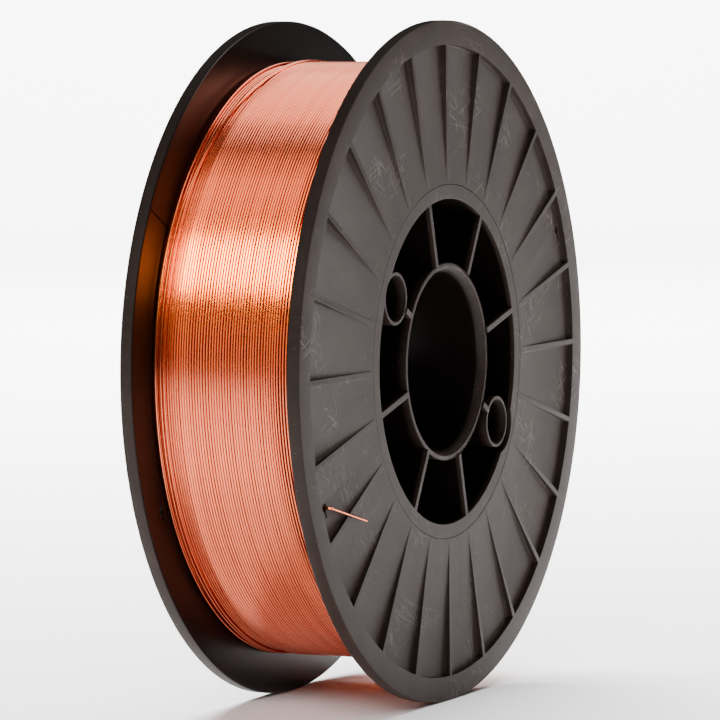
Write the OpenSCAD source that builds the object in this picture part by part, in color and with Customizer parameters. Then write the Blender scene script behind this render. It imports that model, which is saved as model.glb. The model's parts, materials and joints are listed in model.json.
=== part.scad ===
// Welding-wire spool, 200 mm class, wound with 0.8 mm copper-coated wire.
// The spool axis is Y, the origin is the centre of the bore, and the front flange faces -Y.
// Angles round the spool are clockwise from the top, as seen from the front.

/* [Overall] */
// Outer diameter of both flanges
flange_d = 200; // [180:1:300]
// Width over the two flanges
spool_w = 56; // [45:1:100]

/* [Flanges] */
// Thickness of a flange at its rim and along its ribs
flange_t = 3.9; // [3.4:0.1:6]
// Width of the flat band round the rim
rim_band = 7.2; // [4:0.1:12]
// Depth of the recess between the ribs, just inside the rim band
web_depth = 1.9; // [1:0.1:2.4]
// Flat width left between the seat and the start of the recess
seat_land = 2; // [1:0.5:6]
// Number of radial ribs
rib_count = 24; // [12:1:36]
// Thickness of a rib
rib_w = 1.6; // [1:0.1:2.4]
// Radial clearance between a flange and its seat on the barrel
seat_gap = 0.1; // [0.05:0.05:0.3]

/* [Core] */
// Diameter of the spindle bore
bore_d = 52.5; // [50.5:0.5:70]
// Wall of the hub sleeve
hub_wall = 2.8; // [2:0.1:4]
// Radial height of the open cells between the sleeve and the barrel
cell_h = 18.75; // [15:0.05:24]
// Wall of the barrel where the flanges seat on it
seat_wall = 4.2; // [3:0.1:6]
// Height of the shoulder that each flange rests against
shoulder_h = 1.5; // [1:0.1:3]
// Number of spokes
spoke_count = 8; // [8]
// Thickness of a spoke
spoke_w = 1.8; // [1.2:0.1:2.4]
// How far the ends of the sleeve and tubes lie below the faces
end_recess = 0.5; // [0.1:0.1:1]
// Width of the lead-in at each end of the bore
bore_lead = 1.4; // [0.5:0.1:1.8]
// Length of the lead-in at each end of the bore
bore_lead_l = 2.2; // [1:0.1:4]

/* [Drive holes] */
// Diameter of the drive pin holes
drive_hole_d = 11; // [10:0.5:14]
// Widening of each drive hole at its mouth
drive_lead = 1.2; // [0.6:0.1:1.6]
// Length of the widening
drive_lead_l = 8; // [4:0.5:12]
// Wall of a drive tube at its mouth
tube_wall = 1; // [0.8:0.1:1.6]
// How far a tube reaches into the barrel wall
tube_sink = 0.8; // [0.4:0.1:1.2]
// Clearance round the lower tube
tube_relief = 1.9; // [1:0.1:2]

/* [Keyholes] */
// Diameter of the round end that the wire passes through
keyhole_d = 2.6; // [2:0.1:3.2]
// Length of the narrow slot that grips the wire, from the middle of the round end
keyhole_slot_l = 3.2; // [2:0.1:5]
// Width of the groove for the start of the wire, in the inner face of a flange
groove_w = 0.5; // [0.3:0.1:1]
// Depth of that groove
groove_depth = 0.4; // [0.2:0.1:0.8]

/* [Wire] */
// Diameter of the wire
wire_d = 0.8; // [0.6:0.1:1.2]
// Bare height of flange above the full winding
bare_rim = 12; // [8:0.5:30]
// Width beside the rear flange that the top layer leaves bare
bare_band = 7.8; // [4:0.1:12]
// Number of turns that lie loose in the bare band
loose_turns = 3; // [1:1:3]
// Length of the wire end that lies over the front face
tail_l = 22; // [10:1:30]
// Clearance between the wire end and the plastic
tail_gap = 0.15; // [0.1:0.05:0.4]
// Angle of arc over which the last turn lifts off before its keyhole
tail_arc = 14; // [6:1:30]
// Inner end of the wire that stands inside the barrel
start_stub = 3; // [2:0.5:6]

/* [Hidden] */
$fn = 96;

bore_r = bore_d / 2;
hub_r = bore_r + hub_wall;
cell_r = hub_r + cell_h;
seat_r = cell_r + seat_wall;
barrel_r = seat_r + shoulder_h;
flange_r = flange_d / 2;
rim_r = flange_r - rim_band;
web_r = seat_r + seat_land;
face_y = spool_w / 2;
inner_y = face_y - flange_t;
end_y = face_y - end_recess;
rim_chamfer = 0.3;
recess_top = 0.5;

drive_r = drive_hole_d / 2;
tube_r = drive_r + drive_lead + tube_wall;
drive_pitch_r = cell_r + tube_sink - tube_r;
spoke_turn = 30;
spoke_step = 360 / spoke_count;
lower_spoke = 3;
upper_spoke = 7;
lower_turn = spoke_turn + (lower_spoke - 1) * spoke_step;
upper_turn = spoke_turn + (upper_spoke - 1) * spoke_step;

winding_r = flange_r - bare_rim;
package_r = winding_r - wire_d;
wire_gap = 0.02;
wire_r = wire_d / 2;

// One keyhole lies close under the rim band. The other is level with the full winding.
rib_step = 360 / rib_count;
rim_keyhole_r = rim_r - keyhole_d / 2 - 0.1;
rim_keyhole_turn = 67.5;
wire_keyhole_r = winding_r + wire_r + tail_gap;
wire_keyhole_turn = 246.3;
keyhole_slot_w = wire_d + 0.1;
groove_turn = 14.4;
rear_turn = 47.1;

// The wire end bends twice, and leans this far round from the outward radius.
bend_r = 1.5 * wire_d;
tail_lean = 143;

start_turn = 37;
start_hole_d = wire_d + 0.5;
start_y = inner_y - 4;

eps = 0.05;
plastic = "#5f5752";
plastic_dark = "#4b4440";
copper = "#d97f55";

// Stands a shape that is drawn along Z on the spool axis, so that Z becomes -Y.
module on_axis() {
    rotate([90, 0, 0]) children();
}

// Turns children clockwise round the spool axis, as seen from the front.
module turned(angle) {
    rotate([0, angle, 0]) children();
}

// A cylinder along the spool axis, centred on the middle of the spool.
module axial(radius, length) {
    on_axis() cylinder(r = radius, h = length, center = true);
}

// The section of a flange without its recess: distance from the axis, then height.
module flange_section() {
    polygon([
        [seat_r + seat_gap, 0],
        [flange_r - rim_chamfer, 0],
        [flange_r, rim_chamfer],
        [flange_r, flange_t - rim_chamfer],
        [flange_r - rim_chamfer, flange_t],
        [seat_r + seat_gap, flange_t]
    ]);
}

// The section of the recess, whose floor rises from the rim band to the face at web_r.
module recess_section() {
    slope = (rim_r - web_r) / web_depth;
    polygon([
        [web_r - slope * recess_top, flange_t + recess_top],
        [rim_r, flange_t - web_depth],
        [rim_r, flange_t + recess_top]
    ]);
}

// The pockets that are left of the recess between the ribs.
module pockets() {
    difference() {
        rotate_extrude($fn = 180) recess_section();
        for (i = [0 : rib_count - 1])
            rotate(i * rib_step)
                translate([-rib_w / 2, 0, 0])
                    cube([rib_w, flange_r, flange_t + 2 * recess_top]);
    }
}

// A round hole with a narrow slot that runs off sideways, anticlockwise from outside.
module keyhole(radius, turn) {
    rotate(90 - turn)
        translate([radius, 0, -eps]) {
            cylinder(d = keyhole_d, h = flange_t + 2 * eps);
            translate([-keyhole_slot_w / 2, 0, 0])
                cube([keyhole_slot_w, keyhole_slot_l, flange_t + 2 * eps]);
        }
}

// One flange, with its inner face on the plane y = 0 and its ribs towards -Y.
module flange() {
    on_axis()
        difference() {
            rotate_extrude($fn = 180) flange_section();
            pockets();
            keyhole(wire_keyhole_r, wire_keyhole_turn);
            mirror([1, 0, 0]) keyhole(rim_keyhole_r, -rim_keyhole_turn);
            rotate(90 - groove_turn)
                translate([barrel_r, -groove_w / 2, -eps])
                    cube([flange_r - barrel_r + 1, groove_w, groove_depth + eps]);
        }
}

// Cuts a round clearance along the whole spool where a drive tube stands.
module tube_room(turn, radius) {
    turned(turn) translate([0, 0, drive_pitch_r]) axial(radius, spool_w + 2 * eps);
}

// One radial web of the core, between the sleeve and the barrel or a drive tube.
module spoke(index) {
    turn = spoke_turn + (index - 1) * spoke_step;
    color(plastic)
        difference() {
            intersection() {
                turned(turn)
                    translate([-spoke_w / 2, -face_y, 0])
                        cube([spoke_w, spool_w, seat_r]);
                axial(cell_r, spool_w + 2 * eps);
            }
            axial(hub_r, spool_w + 2 * eps, $fn = 360);
            if (index == lower_spoke || index == upper_spoke) {
                tube_room(turn, tube_r, $fn = 180);
                turned(turn)
                    translate([-spoke_w, -face_y - eps, drive_pitch_r])
                        cube([2 * spoke_w, spool_w + 2 * eps, seat_r]);
            }
        }
}

// A tube for one drive pin, widened at both mouths.
module drive_tube(turn) {
    color(plastic)
        turned(turn)
            translate([0, 0, drive_pitch_r])
                on_axis()
                    rotate_extrude($fn = 64)
                        polygon([
                            [drive_r + drive_lead, -end_y],
                            [tube_r, -end_y],
                            [tube_r, end_y],
                            [drive_r + drive_lead, end_y],
                            [drive_r, end_y - drive_lead_l],
                            [drive_r, -end_y + drive_lead_l]
                        ]);
}

// A straight length of wire from the origin along +Z.
module wire_run(length) {
    cylinder(r = wire_r, h = length, $fn = 32);
}

// A quarter turn of wire that starts at the origin along +Z and ends along +X.
module wire_bend() {
    translate([bend_r, 0, 0])
        rotate([90, 0, 0])
            rotate([0, 0, 90])
                rotate_extrude(angle = 90, $fn = 64)
                    translate([bend_r, 0]) circle(r = wire_r, $fn = 32);
}

module front_flange() {
    color(plastic)
        translate([0, -inner_y, 0]) flange();
}

module rear_flange() {
    color(plastic_dark)
        rotate([0, 0, 180])
            translate([0, -inner_y, 0]) turned(rear_turn) flange();
}

// The tube that the wire is wound on. Its thinner ends seat in the flanges.
module barrel() {
    color(plastic)
        difference() {
            union() {
                axial(seat_r, spool_w);
                axial(barrel_r, 2 * inner_y);
            }
            axial(cell_r, spool_w + 2 * eps);
            tube_room(upper_turn, tube_r);
            tube_room(lower_turn, tube_r + tube_relief);
            turned(start_turn)
                translate([0, start_y, cell_r - 1])
                    cylinder(d = start_hole_d, h = barrel_r - cell_r + 2, $fn = 32);
        }
}

// The tube that slides on the machine's spindle.
module hub_sleeve() {
    color(plastic)
        on_axis()
            rotate_extrude($fn = 128)
                polygon([
                    [bore_r + bore_lead, -end_y],
                    [hub_r, -end_y],
                    [hub_r, end_y],
                    [bore_r + bore_lead, end_y],
                    [bore_r, end_y - bore_lead_l],
                    [bore_r, -end_y + bore_lead_l]
                ]);
}

module spoke_1() { spoke(1); }
module spoke_2() { spoke(2); }
module spoke_3() { spoke(3); }
module spoke_4() { spoke(4); }
module spoke_5() { spoke(5); }
module spoke_6() { spoke(6); }
module spoke_7() { spoke(7); }
module spoke_8() { spoke(8); }

module drive_tube_upper() { drive_tube(upper_turn); }
module drive_tube_lower() { drive_tube(lower_turn); }

// All the full layers under the top one, as one package.
module wire_winding() {
    color(copper)
        difference() {
            axial(package_r, 2 * inner_y);
            axial(barrel_r, 2 * inner_y + 2 * eps);
        }
}

// The top layer, which stops short of the rear flange.
module wire_top_layer() {
    width = 2 * inner_y - bare_band;
    color(copper)
        translate([0, -bare_band / 2, 0])
            difference() {
                axial(winding_r, width);
                axial(package_r, width + 2 * eps);
            }
}

// Turns that lie apart from each other in the bare band.
module wire_loose_turns() {
    pitch = bare_band / (loose_turns + 1);
    color(copper)
        for (i = [1 : loose_turns])
            translate([0, inner_y - i * pitch, 0])
                on_axis()
                    rotate_extrude($fn = 128)
                        translate([package_r + wire_r + wire_gap, 0]) circle(r = wire_r, $fn = 32);
}

// The outer end of the wire: off the top layer, out through a keyhole and over the face.
module wire_tail() {
    arc_h = inner_y - bend_r - wire_r;
    out_l = face_y + wire_r + tail_gap - arc_h - 2 * bend_r;
    arc_r = wire_keyhole_r;
    // The arc ends one bend short of the keyhole.
    arc_turn = wire_keyhole_turn + asin(bend_r / arc_r);
    color(copper)
        on_axis()
            rotate(90 - arc_turn) {
                translate([0, 0, arc_h])
                    rotate(-tail_arc)
                        rotate_extrude(angle = tail_arc, $fn = 128)
                            translate([arc_r, 0]) circle(r = wire_r, $fn = 32);
                // The wire is a little swollen where it starts to bend.
                translate([arc_r, 0, arc_h]) sphere(r = wire_r + wire_gap, $fn = 32);
                translate([arc_r, bend_r, arc_h + bend_r]) {
                    rotate(-90) mirror([0, 0, 1]) wire_bend();
                    wire_run(out_l);
                    translate([0, 0, out_l])
                        rotate(tail_lean) {
                            wire_bend();
                            translate([bend_r, 0, bend_r])
                                rotate([0, 90, 0]) wire_run(tail_l);
                        }
                }
            }
}

// The inner end of the wire, pushed through the barrel so that the winding can't slip.
module wire_start() {
    color(copper)
        turned(start_turn)
            translate([0, start_y, cell_r - start_stub])
                wire_run(barrel_r - cell_r + start_stub);
}

front_flange();
rear_flange();
barrel();
hub_sleeve();
spoke_1();
spoke_2();
spoke_3();
spoke_4();
spoke_5();
spoke_6();
spoke_7();
spoke_8();
drive_tube_upper();
drive_tube_lower();
wire_winding();
wire_top_layer();
wire_loose_turns();
wire_tail();
wire_start();
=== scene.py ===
"""Full spool of thin copper-coated wire on a moulded plastic spool, on a pale studio floor."""
import json
import math

import bmesh
import bpy
from bpy.props import FloatProperty, FloatVectorProperty, IntProperty, PointerProperty
from mathutils import Matrix, Vector, noise

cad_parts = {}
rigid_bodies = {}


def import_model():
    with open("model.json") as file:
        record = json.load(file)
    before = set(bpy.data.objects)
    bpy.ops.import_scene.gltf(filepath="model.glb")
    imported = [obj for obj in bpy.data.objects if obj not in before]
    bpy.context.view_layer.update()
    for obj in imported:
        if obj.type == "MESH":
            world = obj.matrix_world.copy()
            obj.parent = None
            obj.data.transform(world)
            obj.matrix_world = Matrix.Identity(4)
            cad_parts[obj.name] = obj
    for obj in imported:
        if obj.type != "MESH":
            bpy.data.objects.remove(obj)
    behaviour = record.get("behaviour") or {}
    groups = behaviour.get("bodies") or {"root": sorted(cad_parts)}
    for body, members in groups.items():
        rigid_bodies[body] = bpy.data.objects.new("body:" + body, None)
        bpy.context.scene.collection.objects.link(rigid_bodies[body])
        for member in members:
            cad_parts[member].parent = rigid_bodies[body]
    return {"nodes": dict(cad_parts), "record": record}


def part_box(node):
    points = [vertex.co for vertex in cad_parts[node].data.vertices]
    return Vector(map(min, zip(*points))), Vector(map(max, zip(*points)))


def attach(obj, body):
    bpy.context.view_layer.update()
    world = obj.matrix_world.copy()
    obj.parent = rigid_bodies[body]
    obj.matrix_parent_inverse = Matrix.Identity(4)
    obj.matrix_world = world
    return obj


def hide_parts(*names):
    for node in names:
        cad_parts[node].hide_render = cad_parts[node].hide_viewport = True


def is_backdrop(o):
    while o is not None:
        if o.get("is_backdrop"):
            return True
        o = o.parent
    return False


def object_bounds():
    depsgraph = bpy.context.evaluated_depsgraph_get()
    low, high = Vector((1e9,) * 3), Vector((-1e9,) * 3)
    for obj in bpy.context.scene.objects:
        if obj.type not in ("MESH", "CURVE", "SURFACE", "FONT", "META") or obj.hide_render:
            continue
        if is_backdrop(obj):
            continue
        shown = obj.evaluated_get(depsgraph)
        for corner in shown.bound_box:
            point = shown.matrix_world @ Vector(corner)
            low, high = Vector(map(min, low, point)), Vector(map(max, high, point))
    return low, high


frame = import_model()

bl_info = {
    "name": "Wire Spool",
    "version": (1, 0, 0),
    "blender": (4, 5, 0),
    "location": "3D View > Sidebar > Wire Spool",
    "description": "Models a full wire spool piece by piece round its CAD frame",
    "category": "Object",
}

MM = 0.001
BODY = "root"
SPOOL_AXIS = (0, 1, 0)
FULL_TURN = 2 * math.pi


# ---- Measures taken from the frame -------------------------------------------------------------

def radii(node):
    """The least and the greatest distance of a CAD node from the spool axis."""
    reach = [math.hypot(v.co.x, v.co.z) for v in frame["nodes"][node].data.vertices]
    return min(reach), max(reach)


def mount(name):
    """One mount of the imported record."""
    return next(m for m in frame["record"]["mounts"] if m["name"] == name)


FACE_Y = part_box("rear_flange")[1][1]
INNER_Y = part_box("wire_winding")[1][1]
END_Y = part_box("hub_sleeve")[1][1]
FLANGE_T = FACE_Y - INNER_Y
FLANGE_HOLE_R, FLANGE_R = radii("front_flange")
CELL_R, BARREL_R = radii("barrel")
BORE_R, HUB_R = radii("hub_sleeve")
PACKAGE_R = radii("wire_winding")[1]
WINDING_R = radii("wire_top_layer")[1]
TOP_LAYER_END_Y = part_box("wire_top_layer")[1][1]
WIRE_D = WINDING_R - PACKAGE_R
WIRE_R = WIRE_D / 2
BORE_LAND = mount("bore")["dims"]["length_mm"] * MM / 2
DRIVE_R = mount("drive_hole_upper")["dims"]["r_mm"] * MM
DRIVE_LAND = mount("drive_hole_upper")["dims"]["length_mm"] * MM / 2
TUBE_CENTRES = {name: Vector(mount("drive_hole_" + name)["pos_m"]) for name in ("upper", "lower")}
TUBE_R = (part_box("drive_tube_lower")[1][0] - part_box("drive_tube_lower")[0][0]) / 2


# ---- Colours and sizes that a user would change -------------------------------------------------

def from_hex(code):
    """An sRGB hex colour as linear red, green, blue and alpha."""
    parts = [int(code[i:i + 2], 16) / 255 for i in (1, 3, 5)]
    linear = [c / 12.92 if c <= 0.04045 else ((c + 0.055) / 1.055) ** 2.4 for c in parts]
    return (*linear, 1.0)


def size_prop(name, description, value):
    """A length property, given in metres."""
    return FloatProperty(name=name, description=description, default=value, min=0.0, unit="LENGTH")


def colour_prop(name, description, code):
    """A colour property with an sRGB hex default."""
    return FloatVectorProperty(name=name, description=description, default=from_hex(code), size=4,
                               subtype="COLOR", min=0.0, max=1.0)


class SpoolSizes(bpy.types.PropertyGroup):
    """Sizes of the mouldings and the lay of the wire that the frame doesn't give."""
    rib_count: IntProperty(name="Ribs", description="Radial ribs of a flange", default=24, min=3)
    rib_w: size_prop("Rib thickness", "Thickness of a rib", 1.6 * MM)
    rim_band: size_prop("Rim band", "Width of the flat band round the rim", 7.2 * MM)
    web_depth: size_prop("Recess depth", "Depth of the recess at the rim band", 1.9 * MM)
    seat_land: size_prop("Seat land", "Flat width between the seat and the recess", 2.0 * MM)
    floor_fillet: size_prop("Floor fillet", "Radius along the floor of each pocket", 0.45 * MM)
    edge_round: size_prop("Edge rounding", "Radius of a moulded edge", 0.18 * MM)
    rim_round: size_prop("Rim rounding", "Radius of the flange's outer edges", 0.45 * MM)
    spoke_w: size_prop("Spoke thickness", "Thickness of a spoke", 1.8 * MM)
    keyhole_d: size_prop("Keyhole", "Diameter of a keyhole's round end", 2.6 * MM)
    keyhole_slot_l: size_prop("Keyhole slot", "Length of a keyhole's slot", 3.2 * MM)
    groove_w: size_prop("Groove width", "Width of the groove for the start of the wire", 0.5 * MM)
    groove_depth: size_prop("Groove depth", "Depth of the groove for the start of the wire", 0.4 * MM)
    tube_relief: size_prop("Tube relief", "Clearance round the lower drive tube", 1.9 * MM)
    lay_gap: size_prop("Lay gap", "Mean gap between two turns of wire", 0.05 * MM)


class SpoolColours(bpy.types.PropertyGroup):
    """Colours of the plastic, the wire and the stage."""
    plastic: colour_prop("Plastic", "Scuffed outside of the moulded plastic", "#261c18")
    plastic_light: colour_prop("Plastic, light", "Flow marks in the plastic", "#312520")
    # The dark plastic colour is the moulded colour of the sheltered inner faces, and also painted
    # shade deep inside the core.
    plastic_dark_and_shade: colour_prop("Plastic, dark", "Clean and sheltered plastic", "#0d0706")
    scuff: colour_prop("Scuffs", "Scratches in the plastic", "#7d7370")
    copper: colour_prop("Copper", "Bright copper coat of the wire", "#f4815a")
    # The deep copper colour is the tarnish tone of the coat, and also painted shade between the
    # turns.
    copper_tarnish_and_gap_shade: colour_prop("Copper, deep", "Copper between the turns", "#c44a36")
    floor: colour_prop("Floor", "Studio floor", "#f4f4f4")


# ---- Mesh helpers ----------------------------------------------------------------------------

def finish_piece(name, bm, material, replaced=(), sharp=35.0):
    """Makes a mesh object of bm that rides on the spool and stands for the replaced CAD nodes."""
    bmesh.ops.recalc_face_normals(bm, faces=bm.faces[:])
    mesh = bpy.data.meshes.new(name)
    bm.to_mesh(mesh)
    bm.free()
    mesh.shade_smooth()
    mesh.set_sharp_from_angle(angle=math.radians(sharp))
    piece = bpy.data.objects.new(name, mesh)
    bpy.context.scene.collection.objects.link(piece)
    mesh.materials.append(material)
    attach(piece, BODY)
    if replaced:
        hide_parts(*replaced)
    return piece


def round_edges(piece, width, segments=2, angle=35.0):
    """Rounds every sharp edge of a piece a little, as a moulded edge is."""
    bevel = piece.modifiers.new("rounded_edges", "BEVEL")
    bevel.width = width
    bevel.segments = segments
    bevel.limit_method = "ANGLE"
    bevel.angle_limit = math.radians(angle)
    bevel.use_clamp_overlap = True
    bevel.harden_normals = True


def section_loop(bm, points, matrix=Matrix()):
    """A closed outline of edges: each point is (distance from the axis, place along it)."""
    verts = [bm.verts.new(matrix @ Vector((r, y, 0))) for r, y in points]
    return [bm.edges.new((a, b)) for a, b in zip(verts, verts[1:] + verts[:1])] + verts


def turn_section(bm, points, steps=128, centre=(0, 0, 0)):
    """Turns a closed outline once round an axis parallel to the spool axis."""
    outline = section_loop(bm, points, Matrix.Translation(centre))
    bmesh.ops.spin(bm, geom=outline, cent=centre, axis=SPOOL_AXIS, angle=FULL_TURN, steps=steps,
                   use_merge=True)
    bmesh.ops.remove_doubles(bm, verts=bm.verts[:], dist=1e-7)


def rounded_corner(r, y, out_r, out_y, radius, steps=4):
    """Points of a quarter arc that rounds the corner (r, y); out_r and out_y are +1 or -1."""
    points = []
    for i in range(steps + 1):
        angle = math.pi / 2 * i / steps
        points.append((r - out_r * radius * (1 - math.sin(angle)),
                       y - out_y * radius * (1 - math.cos(angle))))
    return points


def trim(bm, point, normal):
    """Cuts away what lies on the normal's side of a plane and closes the cut."""
    cut = bmesh.ops.bisect_plane(bm, geom=bm.verts[:] + bm.edges[:] + bm.faces[:], dist=1e-8,
                                 plane_co=point, plane_no=normal, clear_outer=True)
    rim = [e for e in cut["geom_cut"] if isinstance(e, bmesh.types.BMEdge)]
    bmesh.ops.edgeloop_fill(bm, edges=rim)


def cut_away(bm, cutter):
    """Takes the solid in cutter away from the solid in bm. Both are used up; the rest is returned."""
    objects = []
    for name, part in (("blank", bm), ("cutter", cutter)):
        bmesh.ops.recalc_face_normals(part, faces=part.faces[:])
        mesh = bpy.data.meshes.new(name)
        part.to_mesh(mesh)
        part.free()
        objects.append(bpy.data.objects.new(name, mesh))
        bpy.context.scene.collection.objects.link(objects[-1])
    blank, tool = objects
    boolean = blank.modifiers.new("cut", "BOOLEAN")
    boolean.operation = "DIFFERENCE"
    boolean.solver = "EXACT"
    boolean.use_self = True
    boolean.object = tool
    evaluated = blank.evaluated_get(bpy.context.evaluated_depsgraph_get())
    result = bmesh.new()
    result.from_mesh(evaluated.to_mesh())
    evaluated.to_mesh_clear()
    for used in objects:
        mesh = used.data
        bpy.data.objects.remove(used)
        bpy.data.meshes.remove(mesh)
    return result


def add_box(bm, size, matrix):
    """A box of the given size whose middle is at the matrix's origin."""
    bmesh.ops.create_cube(bm, size=1.0, matrix=matrix @ Matrix.Diagonal((*size, 1.0)))


def add_rod(bm, radius, length, matrix, segments=48):
    """A cylinder along the matrix's Z axis, with its middle at the matrix's origin."""
    bmesh.ops.create_cone(bm, cap_ends=True, segments=segments, radius1=radius, radius2=radius,
                          depth=length, matrix=matrix)


def place_at(turn, radius, y=0.0):
    """Local X runs round the spool, clockwise from the front, Y along it and Z outwards."""
    spin = Matrix.Rotation(turn, 4, "Y")
    return spin @ Matrix.Translation((0, y, radius))


def along_axis(turn, radius, y=0.0):
    """As place_at, with Z turned to lie along the spool axis."""
    return place_at(turn, radius, y) @ Matrix.Rotation(math.pi / 2, 4, "X")


# ---- Materials ---------------------------------------------------------------------------------

MATH = "ShaderNodeMath"
VECTOR = "ShaderNodeVectorMath"
POINT = "ShaderNodeCombineXYZ"
SPLIT = "ShaderNodeSeparateXYZ"
NOISE = "ShaderNodeTexNoise"
STEP = "ShaderNodeMapRange"
MIX = "ShaderNodeMix"
SURFACE = "ShaderNodeBsdfPrincipled"
SMOOTH = {"interpolation_type": "SMOOTHSTEP"}
COLOURS = {"data_type": "RGBA", "output": 2}

# Lean in radians, length and width in millimetres, noise level of the edge and seed.
SCRATCHES = ((0.5, 7, 0.3, 0.70, 3.1), (1.1, 12, 0.3, 0.71, 17.7),
             (1.7, 5, 0.3, 0.70, 31.4), (2.75, 20, 0.3, 0.72, 47.9))
SCRATCH_EDGE = 0.03


def add_node(tree, kind, inputs=None, output=0, **settings):
    """Adds one shader node and returns one of its outputs.

    inputs gives values or sockets for its inputs, by name or number; settings are its options.
    """
    item = tree.nodes.new(kind)
    for key, value in settings.items():
        setattr(item, key, value)
    for key, value in (inputs or {}).items():
        if isinstance(value, bpy.types.NodeSocket):
            tree.links.new(value, item.inputs[key])
        else:
            item.inputs[key].default_value = value
    return item.outputs[output]


def new_material(name):
    """An empty material with its output node."""
    material = bpy.data.materials.new(name)
    material.use_nodes = True
    material.node_tree.nodes.clear()
    output = material.node_tree.nodes.new("ShaderNodeOutputMaterial")
    return material, material.node_tree, output


def mm_coordinates(tree):
    """Object coordinates in millimetres, so that a noise scale of 1 is one feature a millimetre."""
    place = add_node(tree, "ShaderNodeTexCoord", output="Object")
    return add_node(tree, VECTOR, {0: place, "Scale": 1 / MM}, operation="SCALE")


def polar_coordinates(tree, place):
    """Distance from the spool axis, angle round it in radians, and distance from the mid plane."""
    x, y, z = add_node(tree, SPLIT, {0: place}).node.outputs
    flat = add_node(tree, VECTOR, {0: place, 1: (1, 0, 1)}, operation="MULTIPLY")
    radius = add_node(tree, VECTOR, {0: flat}, output="Value", operation="LENGTH")
    angle = add_node(tree, MATH, {0: x, 1: z}, operation="ARCTAN2")
    height = add_node(tree, MATH, {0: y}, operation="ABSOLUTE")
    return radius, angle, height


def scratch_lines(tree, place, lean, length, width, level, seed):
    """Thin straight scratches over the faces of a flange, leaning at an angle round the Y axis."""
    turned = add_node(tree, "ShaderNodeMapping",
                      {"Vector": place, "Location": (seed, 0, seed), "Rotation": (0, lean, 0),
                       "Scale": (length, 50, width)}, vector_type="TEXTURE")
    lines = add_node(tree, NOISE, {"Vector": turned, "Scale": 1.0, "Detail": 1.0,
                                   "Roughness": 0.4, "Distortion": 0.35})
    return add_node(tree, STEP, {"Value": lines, "From Min": level,
                                 "From Max": level + SCRATCH_EDGE}, **SMOOTH)


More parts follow.
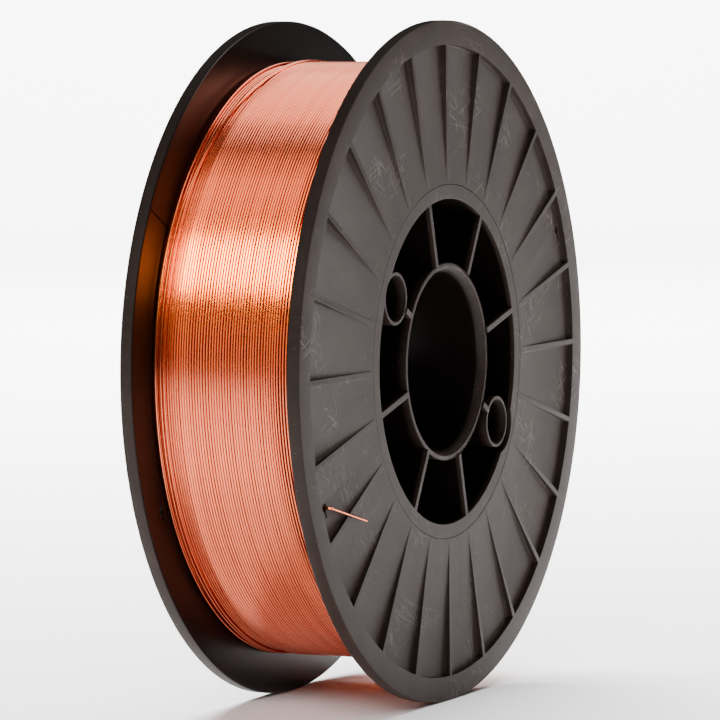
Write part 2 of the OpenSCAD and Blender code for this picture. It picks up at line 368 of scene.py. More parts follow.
def plastic_material(name, lit_depth):
    """Injection-moulded ABS from dark regrind, with a satin skin that handling has scuffed.

    The outer faces are dulled to a warm grey, with flow marks that run out from the gates,
    fine pale scratches and arcs; the inner faces keep the mould's dark gloss. The core is painted
    in the warm grey only near its ends; deeper than lit_depth, in millimetres, from its ends it is
    painted in the dark colour as painted shade.
    """
    colours = bpy.context.scene.spool_colours
    material, tree, output = new_material(name)
    place = mm_coordinates(tree)
    radius, angle, height = polar_coordinates(tree, place)

    # Worn skin on the outer faces of the flanges; in the core the lit face colour is painted only
    # near the ends, and deeper in is painted shade.
    outside = add_node(tree, STEP, {"Value": height, "From Min": INNER_Y / MM + 0.15,
                                    "From Max": INNER_Y / MM + 0.5}, **SMOOTH)
    in_core = add_node(tree, STEP, {"Value": radius, "From Min": FLANGE_HOLE_R / MM + 0.1,
                                    "From Max": FLANGE_HOLE_R / MM - 0.1}, **SMOOTH)
    # Painted shade: deeper in the core than lit_depth from its ends, the plastic takes the dark
    # colour instead of the lit face colour.
    lit_near_end = add_node(tree, STEP, {"Value": height, "From Min": END_Y / MM - lit_depth,
                                     "From Max": END_Y / MM - 0.4}, **SMOOTH)
    worn_and_lit = add_node(tree, MIX, {0: in_core, 2: outside, 3: lit_near_end})

    # Marks: arcs round the spool and straight scratches in patches of about 22 mm, and specks
    # of about 1 mm anywhere. Noise scales are features per millimetre.
    polar = add_node(tree, POINT, {0: radius, 1: angle})
    arcs_at = add_node(tree, VECTOR, {0: polar, 1: (2.2, 1.3, 0)}, operation="MULTIPLY")
    arcs = add_node(tree, NOISE, {"Vector": arcs_at, "Scale": 1.0, "Detail": 2.0})
    scratches = add_node(tree, STEP, {"Value": arcs, "From Min": 0.66, "From Max": 0.72}, **SMOOTH)
    for scratch in SCRATCHES:
        lines = scratch_lines(tree, place, *scratch)
        scratches = add_node(tree, MATH, {0: scratches, 1: lines}, operation="MAXIMUM")
    patches = add_node(tree, NOISE, {"Vector": place, "Scale": 0.045, "Detail": 2.0})
    rubbed = add_node(tree, STEP, {"Value": patches, "From Min": 0.5, "From Max": 0.66}, **SMOOTH)
    normal = add_node(tree, "ShaderNodeNewGeometry", output="Normal")
    facing = add_node(tree, SPLIT, {0: normal}, output=1)
    facing = add_node(tree, MATH, {0: facing}, operation="ABSOLUTE")
    flat = add_node(tree, STEP, {"Value": facing, "From Min": 0.8, "From Max": 0.95}, **SMOOTH)
    flat_rubbed = add_node(tree, MATH, {0: flat, 1: rubbed}, operation="MULTIPLY")
    marks = add_node(tree, MATH, {0: scratches, 1: flat_rubbed}, operation="MULTIPLY")
    grit = add_node(tree, NOISE, {"Vector": place, "Scale": 1.1, "Detail": 1.0})
    specks = add_node(tree, STEP, {"Value": grit, "From Min": 0.73, "From Max": 0.78}, **SMOOTH)
    specks = add_node(tree, MATH, {0: specks, 1: 0.5}, operation="MULTIPLY")
    marks = add_node(tree, MATH, {0: marks, 1: specks}, operation="MAXIMUM")
    marks = add_node(tree, MATH, {0: marks, 1: worn_and_lit}, operation="MULTIPLY")

    # Colour: clouds of about 14 mm, flow marks that run outwards, and the pale marks.
    clouds = add_node(tree, NOISE, {"Vector": place, "Scale": 0.07, "Detail": 4.0,
                                    "Roughness": 0.6})
    clouds = add_node(tree, MATH, {0: clouds, 1: 0.55}, operation="MULTIPLY")
    flow_at = add_node(tree, VECTOR, {0: polar, 1: (0.035, 7.0, 0)}, operation="MULTIPLY")
    flow = add_node(tree, NOISE, {"Vector": flow_at, "Scale": 1.0, "Detail": 5.0,
                                  "Roughness": 0.65})
    tone = add_node(tree, MATH, {0: flow, 1: 0.6, 2: clouds}, operation="MULTIPLY_ADD")
    tone = add_node(tree, STEP, {"Value": tone, "From Min": 0.38, "From Max": 0.78}, **SMOOTH)
    face = add_node(tree, MIX, {0: tone, 6: colours.plastic, 7: colours.plastic_light}, **COLOURS)
    # The dark colour here is the moulded colour of the flanges' inner faces, and painted shade deep
    # inside the core.
    body = add_node(tree, MIX, {0: worn_and_lit, 6: colours.plastic_dark_and_shade, 7: face}, **COLOURS)
    paleness = add_node(tree, MATH, {0: marks, 1: 0.6}, operation="MULTIPLY")
    scuffed = add_node(tree, MIX, {0: paleness, 6: body, 7: colours.scuff}, **COLOURS)

    # Gloss and relief: a grain of about 0.3 mm, with the marks cut in.
    grain = add_node(tree, NOISE, {"Vector": place, "Scale": 3.2, "Detail": 3.0})
    satin = add_node(tree, MATH, {0: grain, 1: 0.16, 2: 0.46}, operation="MULTIPLY_ADD")
    gloss = add_node(tree, MIX, {0: worn_and_lit, 2: 0.3, 3: satin})
    bumps = add_node(tree, MATH, {0: grain, 1: 0.35}, operation="MULTIPLY")
    bumps = add_node(tree, MATH, {0: marks, 1: -0.6, 2: bumps}, operation="MULTIPLY_ADD")
    bumps = add_node(tree, MATH, {0: flow, 1: 0.5, 2: bumps}, operation="MULTIPLY_ADD")
    bumps = add_node(tree, MATH, {0: bumps, 1: worn_and_lit}, operation="MULTIPLY")
    relief = add_node(tree, "ShaderNodeBump", {"Height": bumps, "Strength": 0.2,
                                               "Distance": 0.06 * MM})
    skin = add_node(tree, SURFACE, {"Base Color": scuffed, "Roughness": gloss, "Normal": relief,
                                    "IOR": 1.53, "Specular IOR Level": 0.16})
    tree.links.new(skin, output.inputs[0])
    return material


def copper_material(name, crown_r=0.0):
    """Drawn steel wire with a bright electroplated copper coat.

    Drawing leaves lines too fine to see that run along the wire, so the coat is smooth and shiny,
    with slow changes of tone from turn to turn where it is a little thinner or tarnished. Below
    the crowns of the turns, which lie at crown_r from the spool axis, the copper is painted a dull
    dark red as painted shade between the turns.
    """
    colours = bpy.context.scene.spool_colours
    material, tree, output = new_material(name)
    place = mm_coordinates(tree)
    radius, angle, _ = polar_coordinates(tree, place)
    along = add_node(tree, SPLIT, {0: place}, output=1)
    polar = add_node(tree, POINT, {0: along, 1: angle, 2: radius})
    lay = add_node(tree, VECTOR, {0: polar, 1: (0.9, 1.2, 0.2)}, operation="MULTIPLY")
    tarnish = add_node(tree, NOISE, {"Vector": lay, "Scale": 1.0, "Detail": 3.0,
                                     "Roughness": 0.55})
    tarnish = add_node(tree, STEP, {"Value": tarnish, "From Min": 0.45, "From Max": 0.75}, **SMOOTH)
    coat = add_node(tree, MATH, {0: tarnish, 1: 0.3}, operation="MULTIPLY")
    # Painted shade: below the crowns the copper is darkened to the deep colour, standing in for shade
    # between the turns.
    if crown_r:
        painted_gap_shade = add_node(tree, STEP, {"Value": radius, "From Min": crown_r / MM - 0.08,
                                     "From Max": crown_r / MM - 0.3}, **SMOOTH)
        coat = add_node(tree, MATH, {0: coat, 1: painted_gap_shade}, operation="MAXIMUM")
    tone = add_node(tree, MIX, {0: coat, 6: colours.copper, 7: colours.copper_tarnish_and_gap_shade}, **COLOURS)
    drawn = add_node(tree, VECTOR, {0: polar, 1: (9.0, 30.0, 9.0)}, operation="MULTIPLY")
    lines = add_node(tree, NOISE, {"Vector": drawn, "Scale": 1.0, "Detail": 2.0})
    shine = add_node(tree, MATH, {0: lines, 1: 0.08, 2: 0.16}, operation="MULTIPLY_ADD")
    metal = add_node(tree, SURFACE, {"Base Color": tone, "Metallic": 1.0, "Roughness": shine})
    tree.links.new(metal, output.inputs[0])
    return material


def floor_material():
    """Matt painted studio floor, with a faint unevenness so that it isn't a flat colour."""
    colours = bpy.context.scene.spool_colours
    material, tree, output = new_material("painted_studio_floor")
    place = add_node(tree, "ShaderNodeTexCoord", output="Object")
    uneven = add_node(tree, NOISE, {"Vector": place, "Scale": 3.0, "Detail": 3.0})
    rough = add_node(tree, MATH, {0: uneven, 1: 0.1, 2: 0.75}, operation="MULTIPLY_ADD")
    paint = add_node(tree, SURFACE, {"Base Color": colours.floor, "Roughness": rough})
    tree.links.new(paint, output.inputs[0])
    return material


def material_named(name):
    """A material of this file, made when it is first asked for."""
    makers = {
        # Both plastics paint shade deep inside the core: from 1.1 mm in for the barrel and spokes,
        # and from 3.4 mm in for the hub and drive tubes.
        "moulded_abs_scuffed_painted_shade": lambda: plastic_material("moulded_abs_scuffed_painted_shade", 1.1),
        "moulded_abs_mouths_painted_shade": lambda: plastic_material("moulded_abs_mouths_painted_shade", 3.4),
        "copper_coated_wire_end": lambda: copper_material("copper_coated_wire_end"),
        "copper_coated_wire_top": lambda: copper_material("copper_coated_wire_top", WINDING_R),
        "copper_coated_wire_lower": lambda: copper_material("copper_coated_wire_lower", PACKAGE_R),
        "painted_studio_floor": floor_material,
    }
    return bpy.data.materials.get(name) or makers[name]()


# ---- Flanges -------------------------------------------------------------------------------------

RIM_KEYHOLE_TURN = math.radians(67.5)
WIRE_KEYHOLE_TURN = math.radians(246.3)
GROOVE_TURN = math.radians(14.4)
REAR_TURN = math.radians(47.1)
KEYHOLE_CLEARANCE = 0.1 * MM
TAIL_GAP = 0.15 * MM
OVERCUT = 0.5 * MM


def flange_blank(sizes):
    """The plain disc of a flange: inner face on y = 0, outer face at -y, rounded rim."""
    bm = bmesh.new()
    rounding = sizes.rim_round
    outer = rounded_corner(FLANGE_R, -FLANGE_T, 1, -1, rounding)
    inner = rounded_corner(FLANGE_R, 0, 1, 1, rounding)
    points = [(FLANGE_HOLE_R, 0), *inner, *reversed(outer), (FLANGE_HOLE_R, -FLANGE_T)]
    turn_section(bm, points, steps=240)
    return bm


def pocket_cutters(sizes):
    """The pockets between the ribs, with rounded floors, as solids to be cut away."""
    bm = bmesh.new()
    rim_r = FLANGE_R - sizes.rim_band
    web_r = FLANGE_HOLE_R + sizes.seat_land
    slope = (rim_r - web_r) / sizes.web_depth
    step = FULL_TURN / sizes.rib_count
    points = [(web_r - slope * OVERCUT, -FLANGE_T - OVERCUT), (rim_r, -FLANGE_T + sizes.web_depth),
              (rim_r, -FLANGE_T - OVERCUT)]
    outline = section_loop(bm, points)
    face = bm.faces.new([v for v in outline if isinstance(v, bmesh.types.BMVert)])
    bmesh.ops.spin(bm, geom=outline + [face], cent=(0, 0, 0), axis=SPOOL_AXIS, angle=step, steps=10)
    bmesh.ops.rotate(bm, verts=bm.verts[:], cent=(0, 0, 0),
                     matrix=Matrix.Rotation(-math.pi / 2, 3, "Y"))
    for turn, side in ((0.0, 1), (step, -1)):
        into_pocket = Matrix.Rotation(turn, 3, "Y") @ Vector((side, 0, 0))
        trim(bm, into_pocket * sizes.rib_w / 2, -into_pocket)
    bmesh.ops.recalc_face_normals(bm, faces=bm.faces[:])
    floor = {f for f in bm.faces if f.normal.y > 0.9}
    border = [e for e in bm.edges if sum(f in floor for f in e.link_faces) == 1]
    bmesh.ops.bevel(bm, geom=border, offset=sizes.floor_fillet, segments=3, profile=0.5,
                    affect="EDGES", material=-1, clamp_overlap=True)
    geometry = bm.verts[:] + bm.edges[:] + bm.faces[:]
    bmesh.ops.spin(bm, geom=geometry, cent=(0, 0, 0), axis=SPOOL_AXIS, use_duplicate=True,
                   angle=FULL_TURN - step, steps=sizes.rib_count - 1)
    return bm


def hole_cutters(sizes):
    """The two keyholes and the groove for the start of the wire, as solids to be cut away."""
    bm = bmesh.new()
    through = FLANGE_T + 2 * OVERCUT
    middle = -FLANGE_T / 2
    wire_keyhole_r = WINDING_R + WIRE_R + TAIL_GAP
    rim_keyhole_r = FLANGE_R - sizes.rim_band - sizes.keyhole_d / 2 - KEYHOLE_CLEARANCE
    slot_w = WIRE_D + KEYHOLE_CLEARANCE
    for radius, turn, side in ((wire_keyhole_r, WIRE_KEYHOLE_TURN, -1),
                               (rim_keyhole_r, RIM_KEYHOLE_TURN, 1)):
        add_rod(bm, sizes.keyhole_d / 2, through, along_axis(turn, radius, middle))
        aside = Matrix.Translation((side * sizes.keyhole_slot_l / 2, 0, 0))
        add_box(bm, (sizes.keyhole_slot_l, through, slot_w), place_at(turn, radius, middle) @ aside)
    groove_l = FLANGE_R - BARREL_R + OVERCUT
    groove = place_at(GROOVE_TURN, BARREL_R + groove_l / 2, (OVERCUT - sizes.groove_depth) / 2)
    add_box(bm, (sizes.groove_w, OVERCUT + sizes.groove_depth, groove_l), groove)
    return bm


def make_flange(name, node, matrix):
    """One finished flange, put in its place by matrix."""
    sizes = bpy.context.scene.spool_sizes
    bm = cut_away(flange_blank(sizes), pocket_cutters(sizes))
    bm = cut_away(bm, hole_cutters(sizes))
    bmesh.ops.transform(bm, matrix=matrix, verts=bm.verts[:])
    bmesh.ops.remove_doubles(bm, verts=bm.verts[:], dist=1e-7)
    piece = finish_piece(name, bm, material_named("moulded_abs_scuffed_painted_shade"), [node])
    round_edges(piece, sizes.edge_round)


class SPOOL_OT_flanges(bpy.types.Operator):
    """Model both ribbed flanges"""
    bl_idname = "spool.flanges"
    bl_label = "Flanges"

    def execute(self, context):
        front = Matrix.Translation((0, -INNER_Y, 0))
        rear = Matrix.Rotation(math.pi, 4, "Z") @ front @ Matrix.Rotation(REAR_TURN, 4, "Y")
        make_flange("front_flange_moulding", "front_flange", front)
        make_flange("rear_flange_moulding", "rear_flange", rear)
        return {"FINISHED"}


# ---- Core ------------------------------------------------------------------------------------

SPOKE_COUNT = sum(node.startswith("spoke_") for node in frame["nodes"])
BORE_LEAD = 1.4 * MM
TUBE_LEAD = 1.2 * MM
MOUTH_ROUND = 0.25 * MM
LAND_EASE_L = 0.6 * MM
LAND_EASE_H = 0.08 * MM
SPOKE_SINK = 0.25 * MM
SPOKE_END_GAP = 0.01 * MM


def seat_radius():
    """Outer radius of the barrel's ends, where the flanges seat."""
    ends = [math.hypot(v.co.x, v.co.z) for v in frame["nodes"]["barrel"].data.vertices
            if abs(v.co.y) > INNER_Y + 0.5 * MM]
    return max(ends)


def make_barrel(sizes):
    """The tube that the wire is wound on, with room for the drive tubes."""
    bm = bmesh.new()
    seat_r = seat_radius()
    points = [(CELL_R, -FACE_Y), (seat_r, -FACE_Y), (seat_r, -INNER_Y), (BARREL_R, -INNER_Y),
              (BARREL_R, INNER_Y), (seat_r, INNER_Y), (seat_r, FACE_Y), (CELL_R, FACE_Y)]
    turn_section(bm, points, steps=160)
    cutter = bmesh.new()
    for name, spare in (("upper", 0.0), ("lower", sizes.tube_relief)):
        centre = Matrix.Translation(TUBE_CENTRES[name]) @ Matrix.Rotation(math.pi / 2, 4, "X")
        add_rod(cutter, TUBE_R + spare, 2 * FACE_Y + 2 * OVERCUT, centre, segments=72)
    bm = cut_away(bm, cutter)
    piece = finish_piece("barrel_moulding", bm, material_named("moulded_abs_scuffed_painted_shade"), ["barrel"])
    round_edges(piece, sizes.edge_round)


def make_hub():
    """The sleeve that slides on the spindle, with rounded mouths and a lead-in at each end."""
    bm = bmesh.new()
    lead_r = BORE_R + BORE_LEAD
    points = []
    for side in (-1, 1):
        half = [(BORE_R, side * (BORE_LAND - LAND_EASE_L)), (BORE_R + LAND_EASE_H, side * BORE_LAND),
                (lead_r - MOUTH_ROUND, side * (END_Y - 2 * MOUTH_ROUND))]
        inner = rounded_corner(lead_r - MOUTH_ROUND / 5, side * END_Y, -1, side, MOUTH_ROUND, 3)
        outer = rounded_corner(HUB_R, side * END_Y, 1, side, MOUTH_ROUND, 3)
        half += inner[::-1] + outer[::-1]
        points += half if side == 1 else half[::-1]
    turn_section(bm, points, steps=160)
    piece = finish_piece("hub_sleeve_moulding", bm, material_named("moulded_abs_mouths_painted_shade"),
                         ["hub_sleeve"])


def make_tube(name, sizes):
    """A tube for one drive pin, widened towards both mouths."""
    bm = bmesh.new()
    mouth_r = DRIVE_R + TUBE_LEAD
    points = [(mouth_r, -END_Y), (TUBE_R, -END_Y), (TUBE_R, END_Y), (mouth_r, END_Y),
              (DRIVE_R, DRIVE_LAND), (DRIVE_R, -DRIVE_LAND)]
    turn_section(bm, points, steps=72, centre=TUBE_CENTRES[name])
    piece = finish_piece(f"drive_tube_{name}_moulding", bm, material_named("moulded_abs_mouths_painted_shade"),
                         [f"drive_tube_{name}"])
    round_edges(piece, sizes.edge_round)


def make_spoke(index, sizes):
    """One radial web, as long as the CAD spoke and sunk a little into what it meets."""
    node = f"spoke_{index}"
    corners = [Vector((v.co.x, 0, v.co.z)) for v in frame["nodes"][node].data.vertices]
    near = min(c.length for c in corners)
    far = max(c.length for c in corners)
    middle = sum(corners, Vector()) / len(corners)
    turn = math.atan2(middle.x, middle.z)
    bm = bmesh.new()
    add_box(bm, (sizes.spoke_w, 2 * (FACE_Y - SPOKE_END_GAP), far - near + 2 * SPOKE_SINK),
            place_at(turn, (near + far) / 2))
    piece = finish_piece(f"spoke_{index}_web", bm, material_named("moulded_abs_scuffed_painted_shade"), [node])
    round_edges(piece, sizes.edge_round)


class SPOOL_OT_core(bpy.types.Operator):
    """Model the barrel, the hub sleeve, the spokes and the drive tubes"""
    bl_idname = "spool.core"
    bl_label = "Core"

    def execute(self, context):
        sizes = context.scene.spool_sizes
        make_barrel(sizes)
        make_hub()
        for name in TUBE_CENTRES:
            make_tube(name, sizes)
        for index in range(1, SPOKE_COUNT + 1):
            make_spoke(index, sizes)
        return {"FINISHED"}


# ---- Wire --------------------------------------------------------------------------------------

TURN_STEPS = 120
WIRE_SIDES = 10
SIDE_GAP = 0.1 * MM
PACKAGE_SINK = 0.08 * MM

# How the wire wanders along the axis and away from it: pace per turn, and size.
SLOW_DRIFT = (0.21, 0.26 * MM)
QUICK_DRIFT = (1.3, 0.04 * MM)
LIFT_DRIFT = (1.1, 0.04 * MM)

# Each loose turn: its low and high place past the top layer's edge in millimetres, and a seed.
LOOSE_TURNS = ((4.2, -0.6, 4.0), (5.3, 0.4, 12.0), (6.9, 6.2, 27.0))

# Degrees over which a loose turn climbs, where it is highest, and over which it comes down.
CLIMB, CREST, DESCENT = 52, 60, 90
LOOSE_WANDER = 0.25 * MM
LOOSE_LIFT = 0.7


def drift(turns, seed, pace, size):
    """A smooth, repeatable wander of the lay, read at a number of turns from the start."""
    return size * noise.noise(Vector((turns * pace, seed, 0.37 * seed)))


def wind(bm, radius, start_y, turns, pitch, seed):
    """Winds whole turns of round wire on a helix round the spool, each a little out of line."""
    shape = bmesh.new()
    ring = bmesh.ops.create_circle(shape, cap_ends=False, segments=WIRE_SIDES, radius=WIRE_R,
                                   matrix=Matrix.Translation((radius, start_y, 0)))["verts"]
    edges = list({e for v in ring for e in v.link_edges})
    bmesh.ops.spin(shape, geom=ring + edges, cent=(0, 0, 0), axis=SPOOL_AXIS, angle=FULL_TURN,
                   steps=TURN_STEPS, dvec=(0, pitch / TURN_STEPS, 0))
    one_turn = bpy.data.meshes.new("one_turn")
    shape.to_mesh(one_turn)
    shape.free()
    coil = bmesh.new()
    for turn in range(turns):
        coil.from_mesh(one_turn)
    coil.verts.ensure_lookup_table()
    a_turn = len(one_turn.vertices)
    for count, vert in enumerate(coil.verts):
        turn = count // a_turn
        at = turn + (count % a_turn) // WIRE_SIDES / TURN_STEPS
        out = Vector((vert.co.x, 0, vert.co.z)).normalized()
        vert.co.y += (turn * pitch + drift(at, seed, *SLOW_DRIFT)
                      + drift(at, seed + 5, *QUICK_DRIFT))
        vert.co += out * drift(at, seed + 9, *LIFT_DRIFT)
    bpy.data.meshes.remove(one_turn)
    bmesh.ops.remove_doubles(coil, verts=coil.verts[:], dist=1e-6)
    bmesh.ops.holes_fill(coil, edges=[e for e in coil.edges if e.is_boundary], sides=WIRE_SIDES)
    joined = bpy.data.meshes.new("coil")
    coil.to_mesh(joined)
    coil.free()
    bm.from_mesh(joined)
    bpy.data.meshes.remove(joined)


def lay_across(bm, low_y, high_y, seed):
    """Lays one turn that climbs from the low turns on to the edge of the top layer near the top."""
    ring = bmesh.ops.create_circle(bm, cap_ends=False, segments=WIRE_SIDES, radius=WIRE_R,
                                   matrix=Matrix.Translation((PACKAGE_R + WIRE_R, low_y, 0)))["verts"]
    first = len(bm.verts) - WIRE_SIDES
    edges = list({e for v in ring for e in v.link_edges})
    bmesh.ops.spin(bm, geom=ring + edges, cent=(0, 0, 0), axis=SPOOL_AXIS, angle=FULL_TURN,
                   steps=2 * TURN_STEPS, use_merge=True)
    bm.verts.ensure_lookup_table()
    crosses = low_y > high_y + 2 * MM
    for vert in bm.verts[first:]:
        turn = math.degrees(math.atan2(vert.co.x, vert.co.z))
        if turn < CREST:
            rise = min(max((turn + CLIMB + seed) / CLIMB, 0), 1)
        else:
            rise = 1 - min((turn - CREST) / DESCENT, 1)
        rise = rise * rise * (3 - 2 * rise)
        out = Vector((vert.co.x, 0, vert.co.z)).normalized()
        wander = LOOSE_WANDER * noise.noise(out * 1.6 + Vector((seed, 0, 0)))
        vert.co.y += (high_y - low_y) * rise + wander
        if crosses:
            vert.co += out * WIRE_D * LOOSE_LIFT * rise


class SPOOL_OT_winding(bpy.types.Operator):
    """Wind the wire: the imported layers, the top layer and the loose turns beside it"""
    bl_idname = "spool.winding"
    bl_label = "Winding"

    def execute(self, context):
        sizes = context.scene.spool_sizes
        top_copper = material_named("copper_coated_wire_top")
        pitch = WIRE_D + sizes.lay_gap
        low_r = PACKAGE_R - WIRE_R

        package = bmesh.new()
        under_r = PACKAGE_R - PACKAGE_SINK
        step_y = TOP_LAYER_END_Y - WIRE_D
        points = [(BARREL_R, -INNER_Y), (under_r, -INNER_Y), (under_r, step_y),
                  (low_r, step_y + WIRE_R), (low_r, INNER_Y), (BARREL_R, INNER_Y)]
        turn_section(package, points, steps=240)
        low_turns = math.floor((INNER_Y - step_y) / pitch)
        wind(package, low_r, INNER_Y - WIRE_R - SIDE_GAP, low_turns, -pitch, 3.7)
        piece = finish_piece("wire_packed_layers", package,
                             material_named("copper_coated_wire_lower"), ["wire_winding"])

        layer = bmesh.new()
        width = TOP_LAYER_END_Y + INNER_Y - WIRE_D - 2 * SIDE_GAP
        turns = math.floor(width / pitch)
        wind(layer, WINDING_R - WIRE_R, -INNER_Y + WIRE_R + SIDE_GAP, turns, width / turns, 1.3)
        piece = finish_piece("wire_top_turns", layer, top_copper, ["wire_top_layer"])

        loose = bmesh.new()
        for low_y, high_y, seed in LOOSE_TURNS:
            lay_across(loose, TOP_LAYER_END_Y + low_y * MM, TOP_LAYER_END_Y + high_y * MM, seed)
        piece = finish_piece("wire_loose_turns_laid", loose, top_copper, ["wire_loose_turns"])

        for node in ("wire_tail", "wire_start"):
            bare = frame["nodes"][node]
            bare.data.materials.clear()
            bare.data.materials.append(material_named("copper_coated_wire_end"))
        return {"FINISHED"}


# ---- Stage ---------------------------------------------------------------------------------------

BACKDROP_LIGHT_Z = 1.7
CAMERA_DISTANCE = 1.4595
CAMERA_LENS = 246.64
CAMERA_TURN = (-64.539, 4.068, -0.444)
CAMERA_AIM = (-0.000846, -0.000199)


def camera_axes(azimuth, elevation, roll):
    """Right, up and back directions of a camera, from its angles in degrees."""
    a, e, r = (math.radians(v) for v in (azimuth, elevation, roll))
    back = Vector((math.sin(a) * math.cos(e), -math.cos(a) * math.cos(e), math.sin(e)))
    level = Vector((math.cos(a), math.sin(a), 0))
    upright = back.cross(level)
    right = level * math.cos(r) + upright * math.sin(r)
    up = upright * math.cos(r) - level * math.sin(r)
    return right, up, back


def add_camera():
    """A long lens, which flattens the two flanges' ellipses."""
    right, up, back = camera_axes(*CAMERA_TURN)
    data = bpy.data.cameras.new("camera")
    data.lens = CAMERA_LENS
    data.sensor_width = 36.0
    data.clip_start = 0.01
    data.clip_end = 50.0
    camera = bpy.data.objects.new("camera", data)
    camera.matrix_world = Matrix((right, up, back)).transposed().to_4x4()
    camera.location = right * CAMERA_AIM[0] + up * CAMERA_AIM[1] + back * CAMERA_DISTANCE
    bpy.context.scene.collection.objects.link(camera)
    bpy.context.scene.camera = camera


def add_softbox(name, direction, distance, width, height, power, tint="#ffffff", onto=()):
    """A soft rectangular light that faces the spool; direction points from the spool to it.

    Where onto names objects, it is flagged so that it lights only those.
    """
    data = bpy.data.lights.new(name, "AREA")
    data.shape = "RECTANGLE"
    data.size = width
    data.size_y = height
    data.energy = power
    data.color = from_hex(tint)[:3]
    light = bpy.data.objects.new(name, data)
    away = Vector(direction).normalized()
    light.location = away * distance
    light.rotation_euler = away.to_track_quat("Z", "Y").to_euler()
    bpy.context.scene.collection.objects.link(light)
    if onto:
        lit = bpy.data.collections.new(f"{name}_lights")
        for item in onto:
            lit.objects.link(item)
        light.light_linking.receiver_collection = lit
    return light


def add_backdrop_light(name, distance, power, floor):
    """A soft light behind the spool that faces the backdrop and leaves the spool alone."""
    behind = -camera_axes(*CAMERA_TURN)[2]
    behind = Vector((behind.x, behind.y, 0)).normalized()
    light = add_softbox(name, (0, 0, 1), 1.0, 1.6, 0.8, power, onto=floor)
    raised = Vector((0, 0, BACKDROP_LIGHT_Z))
    light.location = behind * distance + raised
    light.rotation_euler = (raised - behind * 0.9).to_track_quat("Z", "Y").to_euler()


def add_world():
    """Even studio light from all round, darker towards the horizon than from above."""
    world = bpy.data.worlds.new("studio")
    world.use_nodes = True
    tree = world.node_tree
    tree.nodes.clear()
    place = add_node(tree, "ShaderNodeTexCoord", output="Generated")
    up = add_node(tree, SPLIT, {0: place}, output=2)
    above = add_node(tree, STEP, {"Value": up, "From Min": 0.05, "From Max": 0.9}, **SMOOTH)
    light = add_node(tree, MIX, {0: above, 6: from_hex("#666666"), 7: from_hex("#d8d8d8")},
                     **COLOURS)
    sky = add_node(tree, "ShaderNodeBackground", {"Color": light, "Strength": 0.26})
    output = tree.nodes.new("ShaderNodeOutputWorld")
    tree.links.new(sky, output.inputs[0])
    bpy.context.scene.world = world


def add_paper(name, points):
    """One staged piece of floor: a line of (distance from the middle, height) turned all round."""
    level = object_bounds()[0][2]
    sweep = bmesh.new()
    verts = [sweep.verts.new((x, 0, level + z)) for x, z in points]
    edges = [sweep.edges.new(pair) for pair in zip(verts, verts[1:])]
    bmesh.ops.spin(sweep, geom=verts + edges, cent=(0, 0, 0), axis=(0, 0, 1), angle=FULL_TURN,
                   steps=96, use_merge=True)
    bmesh.ops.remove_doubles(sweep, verts=sweep.verts[:], dist=1e-5)
    bmesh.ops.recalc_face_normals(sweep, faces=sweep.faces[:])
    if sum(f.normal.z for f in sweep.faces) < 0:
        bmesh.ops.reverse_faces(sweep, faces=sweep.faces[:])
    mesh = bpy.data.meshes.new(name)
    sweep.to_mesh(mesh)
    sweep.free()
    mesh.shade_smooth()
    mesh.materials.append(material_named("painted_studio_floor"))
    paper = bpy.data.objects.new(name, mesh)
    bpy.context.scene.collection.objects.link(paper)
    paper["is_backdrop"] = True
    return paper


def add_floor():
    """A pale round floor, and a low wall round it that the spool doesn't reflect."""
    flat_r, bend, wall_h = 2.6, 0.5, 1.2
    floor = add_paper("floor", [(0, 0), (flat_r, 0)])
    curve = [(flat_r + bend * math.sin(a), bend * (1 - math.cos(a)))
             for a in (math.pi / 2 * i / 12 for i in range(13))]
    wall = add_paper("backdrop", curve + [(flat_r + bend, wall_h)])
    wall.visible_glossy = False
    wall.visible_diffuse = False
    return [floor, wall]


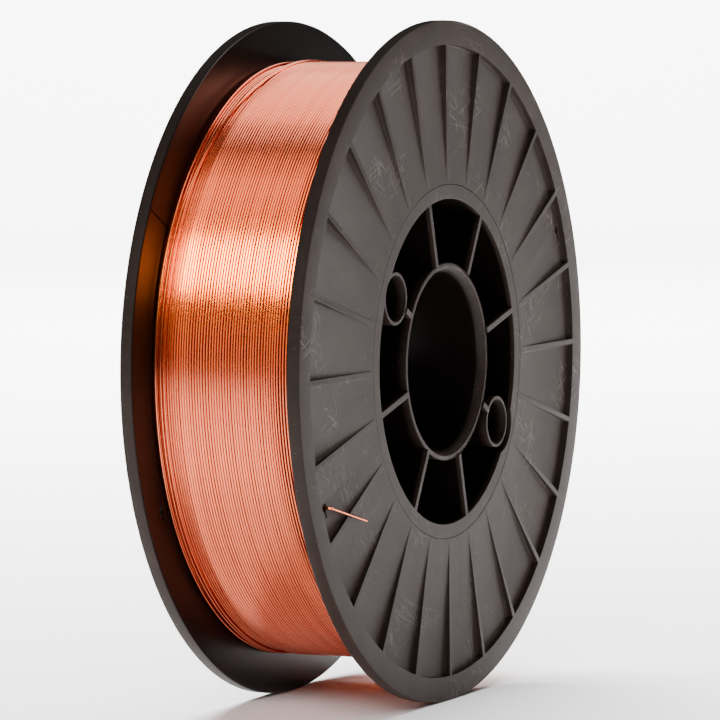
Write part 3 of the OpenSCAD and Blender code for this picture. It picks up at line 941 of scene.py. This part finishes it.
class SPOOL_OT_stage(bpy.types.Operator):
    """Add the floor, the soft lights and the camera"""
    bl_idname = "spool.stage"
    bl_label = "Stage"

    def execute(self, context):
        wire = [item for item in bpy.data.objects if item.name.startswith("wire_")]
        spool = [item for item in bpy.data.objects if item.type == "MESH"]
        plastic = [item for item in spool if item not in wire]
        floor = add_floor()
        left = (-0.78, 0.05, 0.6)
        add_softbox("band_softbox", left, 1.3, 2.0, 0.45, 82.0, "#fff07a", onto=wire)
        add_softbox("high_softbox", (-0.4, 0.05, 0.88), 1.3, 2.0, 0.8, 13.0, "#ffe4c4", onto=wire)
        add_softbox("top_softbox", (0.52, 0.1, 0.82), 1.4, 2.0, 1.3, 24.0, onto=wire)
        add_softbox("low_softbox", (-0.95, 0.1, 0.1), 1.3, 1.8, 0.5, 3.7, "#ffd8a6", onto=wire)
        add_softbox("left_softbox", left, 1.3, 1.2, 0.6, 6.0, onto=plastic)
        add_softbox("rear_softbox", (0.4, 0.25, 0.88), 1.6, 1.2, 0.7, 1.2)
        add_softbox("front_softbox", (0.62, -0.6, 0.5), 1.7, 0.5, 0.5, 10.5, "#ffefe9", onto=spool)
        add_softbox("floor_softbox", (-0.8, -0.2, 0.5), 1.5, 1.0, 0.6, 24.0, onto=floor)
        add_backdrop_light("near_backdrop_softbox", 0.9, 200.0, floor)
        add_backdrop_light("far_backdrop_softbox", 1.8, 280.0, floor)
        add_world()
        add_camera()
        return {"FINISHED"}


# ---- Add-on --------------------------------------------------------------------------------------

STEPS = (SPOOL_OT_flanges, SPOOL_OT_core, SPOOL_OT_winding, SPOOL_OT_stage)


class SPOOL_PT_panel(bpy.types.Panel):
    """Lists the steps, the sizes and the colours"""
    bl_idname = "SPOOL_PT_panel"
    bl_label = "Wire Spool"
    bl_space_type = "VIEW_3D"
    bl_region_type = "UI"
    bl_category = "Wire Spool"

    def draw(self, context):
        for step in STEPS:
            self.layout.operator(step.bl_idname)
        for group in (context.scene.spool_sizes, context.scene.spool_colours):
            column = self.layout.column()
            for name in group.__annotations__:
                column.prop(group, name)


CLASSES = (SpoolSizes, SpoolColours, *STEPS, SPOOL_PT_panel)


def register():
    for item in CLASSES:
        bpy.utils.register_class(item)
    bpy.types.Scene.spool_sizes = PointerProperty(type=SpoolSizes)
    bpy.types.Scene.spool_colours = PointerProperty(type=SpoolColours)


def unregister():
    del bpy.types.Scene.spool_colours
    del bpy.types.Scene.spool_sizes
    for item in reversed(CLASSES):
        bpy.utils.unregister_class(item)


def main():
    register()
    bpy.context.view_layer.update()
    bpy.ops.spool.flanges()
    bpy.ops.spool.core()
    bpy.ops.spool.winding()
    bpy.ops.spool.stage()


if __name__ == "__main__":
    main()
